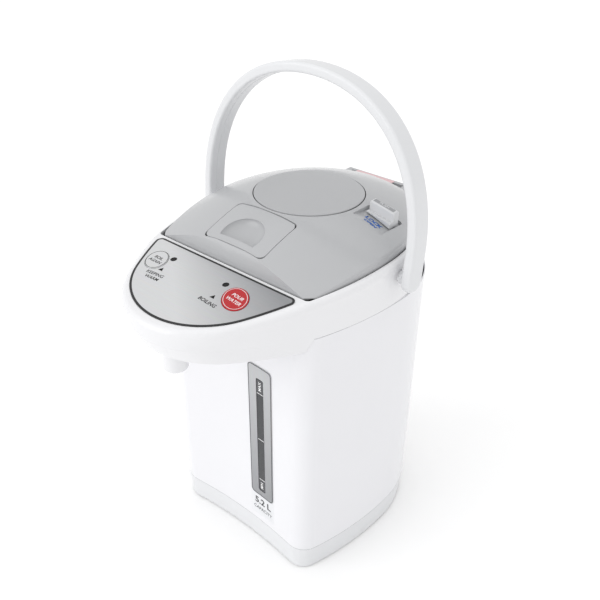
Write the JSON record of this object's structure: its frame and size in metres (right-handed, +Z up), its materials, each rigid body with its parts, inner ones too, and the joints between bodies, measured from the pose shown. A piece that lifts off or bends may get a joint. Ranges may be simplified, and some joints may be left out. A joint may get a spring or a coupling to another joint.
{
  "type": "electric thermo pot",
  "caption": "Insulated hot water pot with a sloping beak, button panel, hinged domed lid with hand pump, latch and lock, water gauge and a swinging carry handle.",
  "frame": {"origin": "the vessel's axis at the plane on which the feet stand", "axes": "+Z up, spout and beak towards -Y, the red button, gauge and pump lock on the +X side"},
  "size_m": [0.2344, 0.2974, 0.4453],
  "materials": {
    "white_plastic": "glossy white moulded plastic",
    "base_plastic": "satin white moulded plastic",
    "body_paint": "smooth white paint on sheet steel",
    "lid_grey": "glossy light grey plastic",
    "plate_grey": "satin light grey plastic",
    "panel_silver": "brushed silver film",
    "black_trim": "black printed border",
    "black_plastic": "black heat resistant plastic",
    "button_red": "glossy red",
    "button_silver": "satin silver",
    "light_dark": "dark lens",
    "clear_window": "clear",
    "steel": "brushed stainless steel",
    "pin_brass": "plated",
    "silicone": "translucent white silicone",
    "foot_rubber": "dark rubber",
    "felt": "white felt",
    "board_green": "circuit board"
  },
  "bodies": {
    "housing": {"bottom_casing": "base_plastic", "bottom_plate": "base_plastic", "foot_1": "foot_rubber", "foot_2": "foot_rubber", "foot_3": "foot_rubber", "foot_4": "foot_rubber", "power_inlet": "black_plastic", "inlet_pins": "pin_brass", "control_board": "board_green", "body_shell": "body_paint", "gauge_bezel": "panel_silver", "gauge_window": "clear_window", "level_tube": "clear_window", "gauge_elbow": "silicone", "tube_clip_lower": "base_plastic", "tube_clip_upper": "base_plastic", "inner_vessel": "steel", "heater_plate": "steel", "thermostat": "black_plastic", "insulation": "felt", "band_heater": "steel", "pump_motor": "steel", "pump_housing": "base_plastic", "delivery_tube": "silicone", "spout": "white_plastic", "collar": "white_plastic", "beak_cover": "white_plastic", "control_panel": "panel_silver", "panel_edge": "black_trim", "dispense_light": "light_dark", "warm_light": "light_dark", "panel_board": "board_green", "hinge_block": "plate_grey", "hinge_pin": "steel", "pivot_pin_left": "white_plastic", "pivot_pin_right": "white_plastic", "tie_rods": "steel", "case_screws": "steel"},
    "handle": {"handle": "white_plastic"},
    "lid": {"lid_outer": "lid_grey", "lid_inner": "base_plastic", "lid_gasket": "silicone", "steam_valve": "base_plastic", "bellows": "silicone", "bellows_spring": "steel", "latch_pin": "steel", "latch_spring": "steel"},
    "pump_plate": {"pump_plate": "plate_grey"},
    "latch": {"latch": "lid_grey"},
    "latch_bolt": {"latch_bolt": "base_plastic"},
    "lock_slider": {"lock_slider": "plate_grey"},
    "dispense_button": {"dispense_button": "button_red"},
    "warm_button": {"warm_button": "button_silver"},
    "impeller": {"impeller": "black_plastic"}
  },
  "joints": [
    {"name": "handle_swing", "type": "hinge", "parent": "housing", "child": "handle", "pos_m": [0, -0.017, 0.296], "axis": [1, 0, 0], "range_deg": [-85, 70]},
    {"name": "lid_open", "type": "hinge", "parent": "housing", "child": "lid", "pos_m": [0, 0.086, 0.312], "axis": [1, 0, 0], "range_deg": [-28, 0]},
    {"name": "pump_press", "type": "slide", "parent": "lid", "child": "pump_plate", "axis": [0, 0, -1], "range_m": [0, 0.018], "stiffness_N_per_m": 200, "springref_m": -0.02, "deforming": ["bellows", "bellows_spring"]},
    {"name": "latch_lift", "type": "hinge", "parent": "lid", "child": "latch", "pos_m": [0, -0.0655, 0.331], "axis": [1, 0, 0], "range_deg": [-12, 0], "stiffness_Nm_per_rad": 0.02, "springref_deg": 34.38},
    {"name": "bolt_slide", "type": "slide", "parent": "lid", "child": "latch_bolt", "axis": [0, 1, 0], "range_m": [0, 0.005]},
    {"name": "lock_slide", "type": "slide", "parent": "lid", "child": "lock_slider", "axis": [0, -1, 0], "range_m": [0, 0.0055]},
    {"name": "dispense_press", "type": "slide", "parent": "housing", "child": "dispense_button", "axis": [0, 0.1191, -0.9929], "range_m": [0, 0.0012], "stiffness_N_per_m": 400, "springref_m": -0.002},
    {"name": "warm_press", "type": "slide", "parent": "housing", "child": "warm_button", "axis": [0, 0.1191, -0.9929], "range_m": [0, 0.0012], "stiffness_N_per_m": 400, "springref_m": -0.002},
    {"name": "impeller_spin", "type": "hinge", "parent": "housing", "child": "impeller", "pos_m": [-0.038, -0.046, 0.02], "axis": [0, 0, 1], "continuous": true}
  ],
  "couplings": [
    {"joint": "bolt_slide", "follows": "latch_lift", "m_per_rad": -0.023873}
  ]
}
